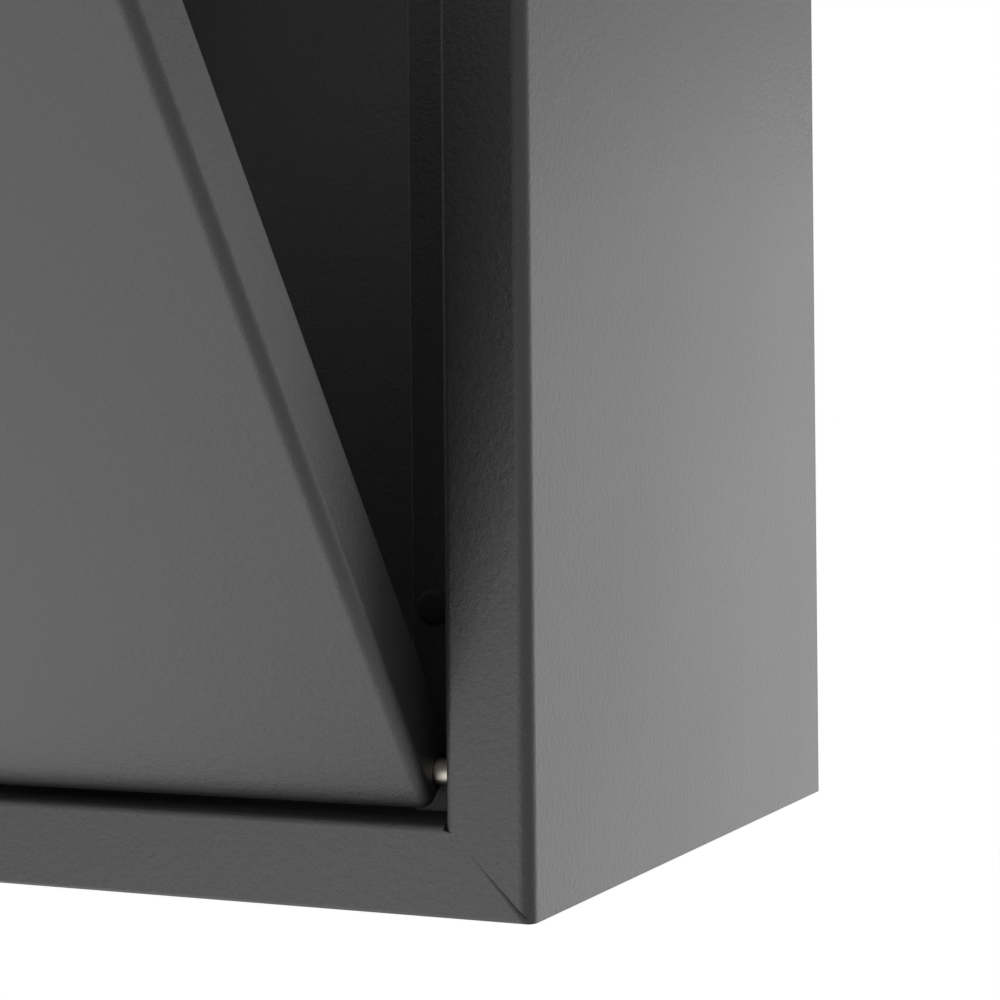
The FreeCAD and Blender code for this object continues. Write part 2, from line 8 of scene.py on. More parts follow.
import bmesh
import bpy
import numpy as np
from bpy.props import FloatProperty, FloatVectorProperty, IntProperty, PointerProperty
from mathutils import Matrix, Vector


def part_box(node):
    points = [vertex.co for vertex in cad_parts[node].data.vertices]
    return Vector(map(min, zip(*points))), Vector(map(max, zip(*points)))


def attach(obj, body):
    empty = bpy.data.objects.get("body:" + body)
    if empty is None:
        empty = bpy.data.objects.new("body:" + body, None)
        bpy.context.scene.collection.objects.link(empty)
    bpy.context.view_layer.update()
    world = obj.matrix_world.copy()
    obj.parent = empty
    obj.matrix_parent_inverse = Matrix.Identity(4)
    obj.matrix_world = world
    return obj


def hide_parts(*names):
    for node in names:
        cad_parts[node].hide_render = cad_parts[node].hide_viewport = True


bl_info = {
    "name": "Drop-front wall safe",
    "version": (1, 0, 0),
    "blender": (4, 5, 0),
    "location": "3D View > Sidebar > Safe",
    "description": "Builds the visible pieces, finishes and stage of a folded steel wall safe",
    "category": "Object",
}

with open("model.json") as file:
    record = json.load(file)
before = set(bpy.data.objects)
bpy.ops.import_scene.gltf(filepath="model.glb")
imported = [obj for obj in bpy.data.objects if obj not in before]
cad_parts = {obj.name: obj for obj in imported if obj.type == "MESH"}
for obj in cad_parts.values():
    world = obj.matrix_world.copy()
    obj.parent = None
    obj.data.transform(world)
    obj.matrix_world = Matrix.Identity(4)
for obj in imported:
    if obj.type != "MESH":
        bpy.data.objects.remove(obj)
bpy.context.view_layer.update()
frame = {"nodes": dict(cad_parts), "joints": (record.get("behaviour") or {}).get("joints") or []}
NODES = frame["nodes"]
JOINTS = {joint["name"]: joint for joint in frame["joints"]}
HINGE = np.array(JOINTS["leaf_tilt"]["pos_m"])
OPEN_ANGLE = math.radians(-JOINTS["leaf_tilt"]["range_deg"][0])
MM = 0.001
FRONT_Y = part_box("side_panel_right")[0].y
HALF_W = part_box("side_panel_right")[1].x
HALF_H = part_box("side_panel_right")[1].z
LIP_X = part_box("side_panel_right")[0].x
LIP_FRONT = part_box("leaf_bumpers")[1].y
LIP_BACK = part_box("stay_guide_right")[0].y


# --- places ----------------------------------------------------------------------------------------------

def turn_x(points, angle):
    """Points turned about the hinge line, an axis along X."""
    c, s = math.cos(angle), math.sin(angle)
    p = np.asarray(points, float) - HINGE
    return np.stack([p[..., 0], c * p[..., 1] - s * p[..., 2], s * p[..., 1] + c * p[..., 2]], -1) + HINGE


def opened(points):
    """Points of the shut leaf, taken to where the leaf stands open."""
    return turn_x(points, OPEN_ANGLE)


def shut_box(node):
    """Lowest and highest corner of a leaf node with the leaf shut."""
    mesh = NODES[node].data
    flat = np.empty(len(mesh.vertices) * 3)
    mesh.vertices.foreach_get("co", flat)
    shut = turn_x(flat.reshape(-1, 3), -OPEN_ANGLE)
    return shut.min(0), shut.max(0)


LEAF_LOW, LEAF_HIGH = shut_box("leaf_skin")
LOCK_LOW, LOCK_HIGH = shut_box("lock_barrel")
LOCK_Z = (LOCK_LOW[2] + LOCK_HIGH[2]) / 2


# --- surfaces --------------------------------------------------------------------------------------------

def add_piece(name, vertices, faces, body, material, slot, smooth_angle=35.0):
    """A mesh object from points and faces, cleaned, shaded smooth up to an angle and set to ride on a body."""
    mesh = bpy.data.meshes.new(name)
    mesh.from_pydata(np.asarray(vertices, float).reshape(-1, 3).tolist(), [], faces)
    bm = bmesh.new()
    bm.from_mesh(mesh)
    bmesh.ops.remove_doubles(bm, verts=bm.verts, dist=2e-6)
    bmesh.ops.recalc_face_normals(bm, faces=bm.faces)
    bm.to_mesh(mesh)
    bm.free()
    mesh.shade_smooth()
    mesh.set_sharp_from_angle(angle=math.radians(smooth_angle))
    piece = bpy.data.objects.new(name, mesh)
    bpy.context.scene.collection.objects.link(piece)
    mesh.materials.append(material)
    even_normals(piece)
    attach(piece, body)
    return piece


def even_normals(piece):
    """Normals weighted by face area, so that a flat face stays flat beside a narrow rounded edge."""
    even = piece.modifiers.new("even_normals", "WEIGHTED_NORMAL")
    even.keep_sharp = True
    even.weight = 100


def grid_faces(rows, columns, wrap_rows=False, wrap_columns=False, start=0):
    """Quads over a grid of points counted row by row, wrapped round in either direction where asked."""
    i = np.arange(rows if wrap_rows else rows - 1)[:, None]
    j = np.arange(columns if wrap_columns else columns - 1)[None, :]
    i2, j2 = (i + 1) % rows, (j + 1) % columns
    corners = (i * columns + j, i * columns + j2, i2 * columns + j2, i2 * columns + j)
    quads = np.stack(np.broadcast_arrays(*corners), -1)
    return (quads.reshape(-1, 4) + start).tolist()


def unit(v):
    """The vector at length one."""
    return v / np.linalg.norm(v)


def rounded_outline(corners, radii, steps=6, hold=0.0):
    """Closed outline through corners, each rounded: an arc of its radius that touches both of its sides.

    A hold puts one more point that far outside each end of an arc, which keeps the flats flat when shaded.
    """
    corners = np.asarray(corners, float)
    out = []
    for i, radius in enumerate(radii):
        here = corners[i]
        back, ahead = unit(corners[i - 1] - here), unit(corners[(i + 1) % len(corners)] - here)
        half = math.acos(np.clip(back @ ahead, -1, 1)) / 2
        centre = here + unit(back + ahead) * radius / math.sin(half)
        first, last = here + back * radius / math.tan(half), here + ahead * radius / math.tan(half)
        a = math.atan2(*(first - centre)[::-1])
        sweep = (math.atan2(*(last - centre)[::-1]) - a + math.pi) % (2 * math.pi) - math.pi
        t = a + sweep * np.linspace(0, 1, steps + 1)
        arc = centre + radius * np.stack([np.cos(t), np.sin(t)], -1)
        if hold:
            arc = np.concatenate([[first + back * hold], arc, [last + ahead * hold]])
        out.append(arc)
    return np.concatenate(out)


def turned_points(profile, start, axis, segments):
    """Surface of revolution: each (distance along, radius) of the profile swept once round the axis."""
    axis = unit(np.asarray(axis, float))
    side = unit(np.cross(axis, [0.31, 0.17, 0.93]))
    other = np.cross(axis, side)
    t = np.linspace(0, 2 * np.pi, segments, endpoint=False)
    circle = np.cos(t)[:, None] * side + np.sin(t)[:, None] * other
    profile = np.asarray(profile, float)
    return np.asarray(start) + profile[:, None, :1] * axis + profile[:, None, 1:] * circle[None]


def turned_mesh(profile, start, axis, segments=48, closed=False):
    """Points and faces of a turned part. A profile that isn't a closed ring is capped flat at its two ends."""
    points = turned_points(profile, start, axis, segments)
    faces = grid_faces(len(profile), segments, wrap_rows=closed, wrap_columns=True)
    if not closed:
        last = (len(profile) - 1) * segments
        faces += [list(range(segments))[::-1], list(range(last, last + segments))]
    return points.reshape(-1, 3), faces


def chamfered(length, radius, chamfer, steps=3):
    """Profile of a plain round bar whose ends are eased by a quarter round of the chamfer's size."""
    t = np.linspace(0, np.pi / 2, steps + 1)
    rise, fall = chamfer * (1 - np.cos(t)), radius - chamfer * (1 - np.sin(t))
    return np.concatenate([np.stack([rise, fall], -1), np.stack([length - rise, fall], -1)[::-1]])


def joined(meshes):
    """Several (points, faces) made one."""
    points, faces, start = [], [], 0
    for p, f in meshes:
        points.append(p)
        faces += [[i + start for i in face] for face in f]
        start += len(p)
    return np.concatenate(points), faces


def cut_away(piece, cutters):
    """Holes bored in a piece by turned cutters, with the result put in its mesh."""
    piece.modifiers.clear()
    for points, faces in cutters:
        mesh = bpy.data.meshes.new("cutter")
        mesh.from_pydata(points.tolist(), [], faces)
        bm = bmesh.new()
        bm.from_mesh(mesh)
        bmesh.ops.recalc_face_normals(bm, faces=bm.faces)
        bm.to_mesh(mesh)
        bm.free()
        cutter = bpy.data.objects.new("cutter", mesh)
        bpy.context.scene.collection.objects.link(cutter)
        boolean = piece.modifiers.new("hole", "BOOLEAN")
        boolean.operation = "DIFFERENCE"
        boolean.solver = "EXACT"
        boolean.object = cutter
        bpy.context.view_layer.update()
        cut_mesh = bpy.data.meshes.new_from_object(piece.evaluated_get(bpy.context.evaluated_depsgraph_get()))
        piece.modifiers.clear()
        old = piece.data
        piece.data = cut_mesh
        cut_mesh.name = piece.name
        bpy.data.meshes.remove(old)
        bpy.data.objects.remove(cutter)
    even_normals(piece)


# --- shader maths ----------------------------------------------------------------------------------------

class Value:
    """A number socket that Python's operators work on. Each operation adds a Math node."""

    def __init__(self, tree, socket):
        self.tree, self.socket = tree, socket

    def math(self, operation, *others):
        node = self.tree.nodes.new("ShaderNodeMath")
        node.operation = operation
        for slot, other in zip(node.inputs, (self, *others)):
            connect(self.tree, slot, other)
        return Value(self.tree, node.outputs[0])

    def __add__(self, other):
        return self.math("ADD", other)

    def __mul__(self, other):
        return self.math("MULTIPLY", other)

    def __sub__(self, other):
        return self.math("SUBTRACT", other)

    def __rsub__(self, other):
        return (self * -1.0) + other

    __radd__ = __add__
    __rmul__ = __mul__


def connect(tree, slot, value):
    """Link a socket to another, or set it to a plain value."""
    if isinstance(value, Value):
        tree.links.new(value.socket, slot)
    elif isinstance(value, bpy.types.NodeSocket):
        tree.links.new(value, slot)
    else:
        slot.default_value = value


class Finish:
    """A material being made: its node tree, its shader and the coordinates that its patterns read."""

    def __init__(self, name):
        self.material = bpy.data.materials.new(name)
        self.material.use_nodes = True
        self.tree = self.material.node_tree
        self.shader = self.tree.nodes["Principled BSDF"]
        self.place = self.node("ShaderNodeTexCoord").outputs["Object"]

    def node(self, kind, settings=None, **inputs):
        """A node of a kind, its settings first and then the values or links of its sockets."""
        node = self.tree.nodes.new(kind)
        for key, value in (settings or {}).items():
            setattr(node, key, value)
        for key, value in inputs.items():
            connect(self.tree, node.inputs[key.replace("_", " ")], value)
        return node

    def noise(self, size, detail=2.0, rough=0.5, stretch=(1, 1, 1)):
        """Noise whose patches are about as wide as size in metres, from 0 to 1."""
        place = self.node("ShaderNodeMapping", Vector=self.place, Scale=stretch).outputs[0]
        node = self.node("ShaderNodeTexNoise", Vector=place, Scale=1 / size, Detail=detail, Roughness=rough)
        return Value(self.tree, node.outputs[0])

    def colours(self, factor, dark, light):
        """A colour between two, by a factor."""
        node = self.node("ShaderNodeMix", {"data_type": "RGBA"})
        connect(self.tree, node.inputs[0], factor)
        node.inputs[6].default_value = (*dark, 1)
        node.inputs[7].default_value = (*light, 1)
        return node.outputs[2]

    def bump(self, height, depth):
        """Bump of a real depth in metres."""
        return self.node("ShaderNodeBump", Height=height, Distance=depth, Strength=1.0).outputs[0]

    def set(self, **inputs):
        for key, value in inputs.items():
            connect(self.tree, self.shader.inputs[key.replace("_", " ")], value)
        return self.material


def shade(colour, factor):
    """A colour made darker or lighter."""
    return tuple(channel * factor for channel in colour)


def powder_coat(name, look, peel_depth, grain_depth):
    """Baked powder paint: a satin skin with orange peel, fine grain, pale specks and slow drifts of gloss."""
    f = Finish(name)
    peel = f.noise(look.peel_size, detail=1.0)
    grain = f.noise(look.grain_size, detail=2.0, rough=0.7)
    drift = f.noise(0.09, detail=1.0)
    specks = f.node("ShaderNodeMapRange", Value=grain, From_Min=0.60, From_Max=0.74).outputs[0]
    tone = drift * 0.15 + grain * 0.7 + Value(f.tree, specks) * 0.3
    colour = f.colours(tone, shade(look.colour, 0.45), shade(look.colour, 1.6))
    height = peel * (peel_depth / MM) + grain * (grain_depth / MM)
    rough = drift * 0.05 + grain * 0.14 + (look.roughness - 0.095)
    return f.set(Base_Color=colour, Roughness=rough, Normal=f.bump(height, MM), Specular_IOR_Level=look.gloss)


def plated(name, colour, roughness, brush=(1, 1, 1), brush_size=0.0004, blotch=0.5):
    """Plated or drawn metal: fine lines along the way that it was worked, and cloudy patches in the plate."""
    f = Finish(name)
    lines = f.noise(brush_size, detail=3.0, rough=0.6, stretch=brush)
    clouds = f.noise(0.006, detail=3.0)
    tint = f.colours(clouds * blotch + lines * (1 - blotch), shade(colour, 0.78), shade(colour, 1.1))
    rough = lines * 0.14 + clouds * 0.10 + (roughness - 0.12)
    return f.set(Base_Color=tint, Metallic=1.0, Roughness=rough, Normal=f.bump(lines, 0.006 * MM))


def moulded_rubber(name, colour):
    """Matt rubber with a dusty bloom and a fine moulded grain."""
    f = Finish(name)
    grain = f.noise(0.0005, detail=3.0)
    bloom = f.noise(0.02, detail=3.0)
    tint = f.colours(bloom * 0.7 + grain * 0.3, shade(colour, 0.75), shade(colour, 1.5))
    skin = f.bump(grain, 0.02 * MM)
    return f.set(Base_Color=tint, Roughness=bloom * 0.12 + 0.66, Specular_IOR_Level=0.2, Normal=skin)


# --- what a user would change ----------------------------------------------------------------------------

def metres(name, description, default):
    """A length that a user may change."""
    return FloatProperty(name=name, description=description, default=default, min=0.0, precision=5,
                         unit="LENGTH")


def paint(name, description, default):
    """A colour that a user may change."""
    return FloatVectorProperty(name=name, description=description, default=default, size=3, subtype="COLOR",
                               min=0.0, max=1.0)


def factor(name, description, default):
    """A share from 0 to 1 that a user may change."""
    return FloatProperty(name=name, description=description, default=default, min=0.0, max=1.0,
                         subtype="FACTOR")


class SafeCaseSizes(bpy.types.PropertyGroup):
    """Sizes of the case that its finish pieces use"""
    sheet: metres("Sheet", "Thickness of the folded sheet", 2 * MM)
    flange: metres("Flange", "Width of the front flange", 20 * MM)
    side_bend: metres("Side bend", "Outer radius where a side wall folds into its flange", 3 * MM)
    foot_bend: metres("Foot bend", "Outer radius where the top or bottom wall folds into its flange", 0.8 * MM)
    inner_bend: metres("Inner bend", "Outer radius of the fold at the opening", 1.8 * MM)
    relief: metres("Relief", "Height of the slit left in each inner corner of the frame", 1.8 * MM)
    slit: metres("Slit", "Width of that slit", 0.3 * MM)
    mat_rib: metres("Mat rib", "Distance between the ribs of the floor mat", 4 * MM)


class SafeLeafSizes(bpy.types.PropertyGroup):
    """Sizes of the door leaf and facets of turned pieces"""
    sheet: metres("Sheet", "Thickness of the leaf's sheet", 1.5 * MM)
    bend: metres("Bend", "Outer radius of the folds round the face", 3.03 * MM)
    corner: metres("Corner", "Radius of the face's corners", 3.4 * MM)
    rim: metres("Rim", "Rounding of the returns' free edge", 0.6 * MM)
    mouth: metres("Pin mouth", "Diameter of the hole that the hinge pin enters", 8 * MM)
    sides: IntProperty(name="Facets", description="Facets round a turned piece", default=64, min=12, max=256)


class SafeFinish(bpy.types.PropertyGroup):
    """Colours, gloss and grain"""
    colour: paint("Colour", "Colour of the powder coat", (0.046, 0.046, 0.046))
    roughness: factor("Roughness", "Roughness of the powder coat", 0.40)
    gloss: factor("Gloss", "Specular level of the powder coat", 0.5)
    peel_size: metres("Peel size", "Width of the orange peel's dimples", 1.5 * MM)
    peel_depth: metres("Peel depth", "Depth of the orange peel", 0.090 * MM)
    grain_size: metres("Grain size", "Width of the fine grain", 0.42 * MM)
    grain_depth: metres("Grain depth", "Depth of the fine grain", 0.080 * MM)
    zinc: paint("Zinc", "Colour of the zinc plate", (0.60, 0.60, 0.58))
    nickel: paint("Nickel", "Colour of the lock's plate", (0.72, 0.70, 0.67))
    rubber: paint("Rubber", "Colour of the rubber", (0.012, 0.012, 0.012))


class SafeStage(bpy.types.PropertyGroup):
    """Floor, light from all round, and camera"""
    drop: metres("Drop", "Height of the safe above the floor", 1.05)
    floor: metres("Floor", "Width of the floor", 14.0)
    ambient: factor("Ambient", "Light from all round", 0.06)
    lens: FloatProperty(name="Lens", description="Focal length for a 36 mm sensor, in millimetres",
                        default=77.5)
    camera_offset: FloatVectorProperty(
        name="Camera", description="Camera, from the front, lower, right corner of the safe", size=3,
        default=(0.17857, -0.41087, 0.08968), unit="LENGTH", precision=5)
    yaw: FloatProperty(name="Yaw", description="Turn of the camera to its left", default=math.radians(24.232),
                       subtype="ANGLE")
    pitch: FloatProperty(name="Pitch", description="Camera's look down", default=math.radians(0.127),
                         subtype="ANGLE")
    roll: FloatProperty(name="Roll", description="Camera's roll", default=math.radians(0.556), subtype="ANGLE")


GROUPS = {
    "safe_case": SafeCaseSizes,
    "safe_leaf": SafeLeafSizes,
    "safe_finish": SafeFinish,
    "safe_stage": SafeStage,
}
MATERIALS = {}


def material(name):
    """One of the safe's finishes, made when it is first asked for."""
    look = bpy.context.scene.safe_finish
    makers = {
        "case_paint": lambda: powder_coat("case_paint", look, look.peel_depth, look.grain_depth),
        "leaf_paint": lambda: powder_coat("leaf_paint", look, look.peel_depth * 0.8, look.grain_depth),
        "zinc_steel": lambda: plated("zinc_steel", look.zinc, 0.34),
        "pin_steel": lambda: plated("pin_steel", (0.34, 0.32, 0.28), 0.42, brush=(6, 1, 1), brush_size=0.002),
        "lock_chrome": lambda: plated("lock_chrome", look.nickel, 0.20, blotch=0.2),
        "lock_brass": lambda: plated("lock_brass", (0.66, 0.58, 0.42), 0.28, blotch=0.3),
        "key_metal": lambda: plated("key_metal", look.nickel, 0.30, brush=(1, 8, 1), brush_size=0.002),
        "rubber": lambda: moulded_rubber("rubber", look.rubber),
        "mat_rubber": lambda: moulded_rubber("mat_rubber", look.rubber),
    }
    if name not in MATERIALS:
        MATERIALS[name] = makers[name]()
    return MATERIALS[name]


def dress(node, name, bevel=0.0):
    """Give a carried-over node its finish, and ease its edges with a small bevel."""
    obj = NODES[node]
    obj.data.materials.clear()
    obj.data.materials.append(material(name))
    if bevel:
        weld = obj.modifiers.new("weld", "WELD")
        weld.merge_threshold = 1e-5
        ease = obj.modifiers.new("ease", "BEVEL")
        ease.width = bevel
        ease.segments = 2
        ease.angle_limit = math.radians(50)
        ease.harden_normals = True


# --- case ------------------------------------------------------------------------------------------------

def ease_back(distance, radius):
    """How far a face falls back beside a rounded edge: nothing inside, then a quarter round of the radius."""
    over = np.clip(distance, 0, radius)
    return radius - np.sqrt(radius ** 2 - over ** 2)


def wall_section(outer, sizes, bend, lipped):
    """Section of a folded wall as (outward, Y): wall, flange, return and, except on the bottom, stop lip."""
    inner, t, lip = outer - sizes.flange, sizes.sheet, outer - (HALF_W - LIP_X)
    corners = [(outer, 0), (outer, FRONT_Y), (inner, FRONT_Y)]
    radii = [0.3 * MM, bend, sizes.inner_bend]
    if lipped:
        corners += [(inner, LIP_FRONT), (lip, LIP_FRONT), (lip, LIP_BACK), (inner + t, LIP_BACK)]
        radii += [0.6 * MM, 0.7 * MM, 0.7 * MM, 1.5 * MM]
    else:
        corners += [(inner, LIP_BACK), (inner + t, LIP_BACK)]
        radii += [0.5 * MM, 0.5 * MM]
    corners += [(inner + t, FRONT_Y + t), (outer - t, FRONT_Y + t), (outer - t, 0)]
    radii += [0.2 * MM, 0.8 * MM, 0.3 * MM]
    return rounded_outline(corners, radii, steps=8, hold=0.15 * MM)


def folded_wall(section, ends, half_run, ease):
    """The section carried along its run: columns close up by the ends, each point stopping at its own end.

    The front falls back beside the crossing wall's rounded edge, so that the two walls meet on one surface.
    """
    near_end = half_run - ease * (1 - np.sin(np.linspace(0, np.pi / 2, 9)))
    columns = np.concatenate([-near_end[::-1], np.linspace(-near_end[0], near_end[0], 5)[1:-1], near_end])
    along = np.clip(columns[None, :], -ends[:, None], ends[:, None])
    y = np.maximum(section[:, 1][:, None], FRONT_Y + ease_back(np.abs(along) - (half_run - ease), ease))
    out = np.broadcast_to(section[:, 0][:, None], along.shape)
    faces = grid_faces(len(section), len(columns), wrap_rows=True)
    first = (np.arange(len(section)) * len(columns)).tolist()
    last = [i + len(columns) - 1 for i in first]
    return out, y, along, faces + [first[::-1], last]


class SAFE_OT_case(bpy.types.Operator):
    """Folded walls of the case, with their flanges, returns and stop lips"""
    bl_idname = "safe.case"
    bl_label = "Case"

    def execute(self, context):
        sizes = context.scene.safe_case
        paint_coat = material("case_paint")
        for side, sign in (("left", -1), ("right", 1)):
            section = wall_section(HALF_W, sizes, sizes.side_bend, True)
            depth_in = HALF_W - section[:, 0]
            ends = HALF_H - np.minimum(depth_in, sizes.flange - sizes.relief)
            ends = np.where(section[:, 0] < HALF_W - sizes.flange - 1e-6, HALF_H - sizes.flange, ends)
            out, y, z, faces = folded_wall(section, ends, HALF_H, sizes.foot_bend)
            points = np.stack([sign * out, y, z], -1)
            piece = add_piece("side_wall_" + side, points, faces, "case", paint_coat, "case_paint")
            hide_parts("side_panel_" + side)
        cross_walls = (("top_wall", "top_panel", 1, True), ("bottom_wall", "bottom_panel", -1, False))
        for name, node, sign, lipped in cross_walls:
            section = wall_section(HALF_H, sizes, sizes.foot_bend, lipped)
            depth_in = HALF_H - section[:, 0]
            butt = HALF_W - sizes.flange - sizes.slit
            ends = np.where(depth_in > sizes.flange - sizes.relief + 1e-6, butt, HALF_W - depth_in)
            ends = np.where(section[:, 0] < HALF_H - sizes.flange - 1e-6, LIP_X, ends)
            out, y, x, faces = folded_wall(section, ends, HALF_W, sizes.side_bend)
            piece = add_piece(name, np.stack([x, y, sign * out], -1), faces, "case", paint_coat, "case_paint")
            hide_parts(node)
        dress("back_panel", "case_paint")
        dress("wall_bolt_doublers", "case_paint", 0.4 * MM)
        for side in ("left", "right"):
            dress("hinge_boss_" + side, "case_paint")
        return {"FINISHED"}


class SAFE_OT_mat(bpy.types.Operator):
    """Ribbed rubber mat on the floor of the case, and the leaf's rubber bumpers"""
    bl_idname = "safe.mat"
    bl_label = "Mat and bumpers"

    def execute(self, context):
        low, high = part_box("floor_mat")
        rib = context.scene.safe_case.mat_rib
        count = int((high.y - low.y) / rib)
        y = np.linspace(low.y, high.y, count * 8 + 1)
        rise = 0.35 * MM * (1 - np.abs(np.cos(np.pi * (y - low.y) / (y[-1] - y[0]) * count)) ** 3)
        top = high.z - 0.35 * MM + rise
        section = np.concatenate([np.stack([y, top], -1), [(high.y, low.z), (low.y, low.z)]])
        x = np.array([low.x, low.x + MM, high.x - MM, high.x])
        points = np.stack(np.broadcast_arrays(x[:, None], section[None, :, 0], section[None, :, 1]), -1)
        faces = grid_faces(len(x), len(section), wrap_columns=True)
        faces += [list(range(len(section)))[::-1], list(range(3 * len(section), 4 * len(section)))]
        mat = add_piece("ribbed_mat", points, faces, "case", material("mat_rubber"), "mat_rubber")
        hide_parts("floor_mat")

        low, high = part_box("leaf_bumpers")
        thick, radius = high.y - low.y, 4 * MM
        t = np.linspace(0, np.pi / 2, 7)
        dome = np.stack([thick * np.sin(t), radius * np.cos(t) ** 0.35], -1)
        dome[-1, 1] = 0.05 * MM
        discs = [turned_mesh(dome, (x, high.y, z), (0, -1, 0), 32)
                 for x in (low.x + radius, high.x - radius) for z in (low.z + radius, high.z - radius)]
        bumpers = add_piece("bumper_discs", *joined(discs), "case", material("rubber"), "rubber")
        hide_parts("leaf_bumpers")
        return {"FINISHED"}


# --- leaf ------------------------------------------------------------------------------------------------

def rectangle_ring(half_x, half_z, radius, steps=8):
    """Rounded rectangle about the origin, the same number of points for any size."""
    corners = [(half_x, half_z), (-half_x, half_z), (-half_x, -half_z), (half_x, -half_z)]
    return rounded_outline(corners, [radius] * 4, steps)


class SAFE_OT_leaf(bpy.types.Operator):
    """Door leaf: the folded pan with its rounded returns and pin mouths, its inner sheet and ribs"""
    bl_idname = "safe.leaf"
    bl_label = "Door leaf"

    def execute(self, context):
        sizes = context.scene.safe_leaf
        t, bend, rim = sizes.sheet, sizes.bend, sizes.rim
        front, back = LEAF_LOW[1], LEAF_HIGH[1]
        centre = (LEAF_LOW + LEAF_HIGH) / 2
        half_x, half_z = (LEAF_HIGH[0] - LEAF_LOW[0]) / 2, (LEAF_HIGH[2] - LEAF_LOW[2]) / 2
        turn = np.linspace(0, np.pi / 2, 11)
        outer = np.stack([bend - bend * np.sin(turn), front + bend - bend * np.cos(turn)], -1)
        edge = np.stack([rim - rim * np.cos(turn[::2]), back - rim + rim * np.sin(turn[::2])], -1)
        tight, coarse = bend - t, turn[::2]
        inner = np.stack([bend - tight * np.cos(coarse), front + bend - tight * np.sin(coarse)], -1)
        flat = [(9 * MM, front), (bend + 0.6 * MM, front)]
        section = np.concatenate([flat, outer, edge, [(t, back)], inner, [(9 * MM, front + t)]])
        rings = [np.insert(rectangle_ring(half_x - d, half_z - d, max(sizes.corner - d, 0.05 * MM)), 1, y, axis=1)
                 for d, y in section]
        points = np.stack(rings) + [centre[0], 0, centre[2]]
        count = points.shape[1]
        faces = grid_faces(len(rings), count, wrap_columns=True)
        last = (len(rings) - 1) * count
        faces += [list(range(count))[::-1], list(range(last, last + count))]
        pan = add_piece("leaf_pan", opened(points), faces, "leaf", material("leaf_paint"), "leaf_paint")
        cutters = []
        for sign in (-1, 1):
            start = opened(np.array([sign * (half_x - 3 * MM), HINGE[1], HINGE[2]]))
            bore = [(0, sizes.mouth / 2), (6 * MM, sizes.mouth / 2)]
            cutters.append(turned_mesh(bore, start, (sign, 0, 0), 64))
        ends = opened(np.array([[0, front - 3 * MM, LOCK_Z], [0, front + 5 * MM, LOCK_Z]]))
        radius = (LOCK_HIGH[0] - LOCK_LOW[0]) / 2
        cutters.append(turned_mesh([(0, radius), (8 * MM, radius)], ends[0], ends[1] - ends[0], 64))
        cut_away(pan, cutters)
        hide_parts("leaf_skin")
        dress("leaf_liner", "leaf_paint")
        for node in ("leaf_rib_lower", "leaf_rib_upper", "hinge_block_left", "hinge_block_right"):
            dress(node, "leaf_paint")
        return {"FINISHED"}


class SAFE_OT_hinge(bpy.types.Operator):
    """Hinge pins: drawn steel with eased ends"""
    bl_idname = "safe.hinge"
    bl_label = "Hinge pins"

    def execute(self, context):
        for side in ("left", "right"):
            low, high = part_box("hinge_pin_" + side)
            radius = (high.z - low.z) / 2
            profile = chamfered(high.x - low.x, radius, 0.6 * MM)
            start = (low.x, HINGE[1], HINGE[2])
            points, faces = turned_mesh(profile, start, (1, 0, 0), context.scene.safe_leaf.sides)
            pin = add_piece("pin_" + side, points, faces, "case", material("pin_steel"), "zinc_steel")
            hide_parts("hinge_pin_" + side)
        return {"FINISHED"}


def dome_rivet(place, radius, rise, axis):
    """Button rivet head: a quarter of an ellipse turned round, so that it meets the sheet square."""
    t = np.linspace(0, np.pi / 2, 9)
    profile = np.stack([rise * np.sin(t), radius * np.cos(t)], -1)
    profile[-1, 1] = 0.03 * MM
    profile = np.concatenate([[(-2 * MM, radius * 0.53), (0, radius * 0.53)], profile])
    return turned_mesh(profile, place, axis, 32)


class SAFE_OT_stays(bpy.types.Operator):
    """Quadrant stays, their guides, rollers, pins and rivets"""
    bl_idname = "safe.stays"
    bl_label = "Stays"

    def execute(self, context):
        zinc = material("zinc_steel")
        for side in ("left", "right"):
            dress("stay_" + side, "zinc_steel", 0.3 * MM)
            dress("stay_guide_" + side, "zinc_steel", 0.3 * MM)
            dress("stay_pin_" + side, "zinc_steel", 0.3 * MM)
            low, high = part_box("stay_rollers_" + side)
            middle = (np.array(low) + np.array(high)) / 2
            radius, bore, length = (high.z - low.z) / 2, 2 * MM, 5 * MM
            ring = [(0.6 * MM, bore), (0, bore + 0.6 * MM), (0, radius - MM), (0.3 * MM, radius - 0.3 * MM),
                    (MM, radius), (length - MM, radius), (length - 0.3 * MM, radius - 0.3 * MM),
                    (length, radius - MM), (length, bore + 0.6 * MM), (length - 0.6 * MM, bore)]
            rings = [turned_mesh(ring, (x, middle[1], middle[2]), (1, 0, 0), 48, closed=True)
                     for x in (low.x, high.x - length)]
            rollers = add_piece("rollers_" + side, *joined(rings), "leaf", material("rubber"), "rubber")
            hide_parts("stay_rollers_" + side)

        low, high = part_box("guide_rivets")
        radius, rise = 3 * MM, 1.2 * MM
        places = [(x, high.y - rise, z) for x in (low.x + radius, high.x - radius)
                  for z in (low.z + radius, high.z - radius)]
        heads = add_piece("guide_rivet_heads", *joined([dome_rivet(p, radius, rise, (0, 1, 0)) for p in places]),
                          "case", zinc, "zinc_steel")
        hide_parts("guide_rivets")
        low, high = shut_box("stay_rivets")
        ways = opened(np.array([[0, 0, 0], [0, 1, 0]]))
        places = [opened(np.array([x, high[1] - rise, z])) for x in (low[0] + radius, high[0] - radius)
                  for z in (low[2] + radius, high[2] - radius)]
        rivets = joined([dome_rivet(p, radius, rise, ways[1] - ways[0]) for p in places])
        heads = add_piece("foot_rivet_heads", *rivets, "leaf", zinc, "zinc_steel")
        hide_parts("stay_rivets")
        return {"FINISHED"}


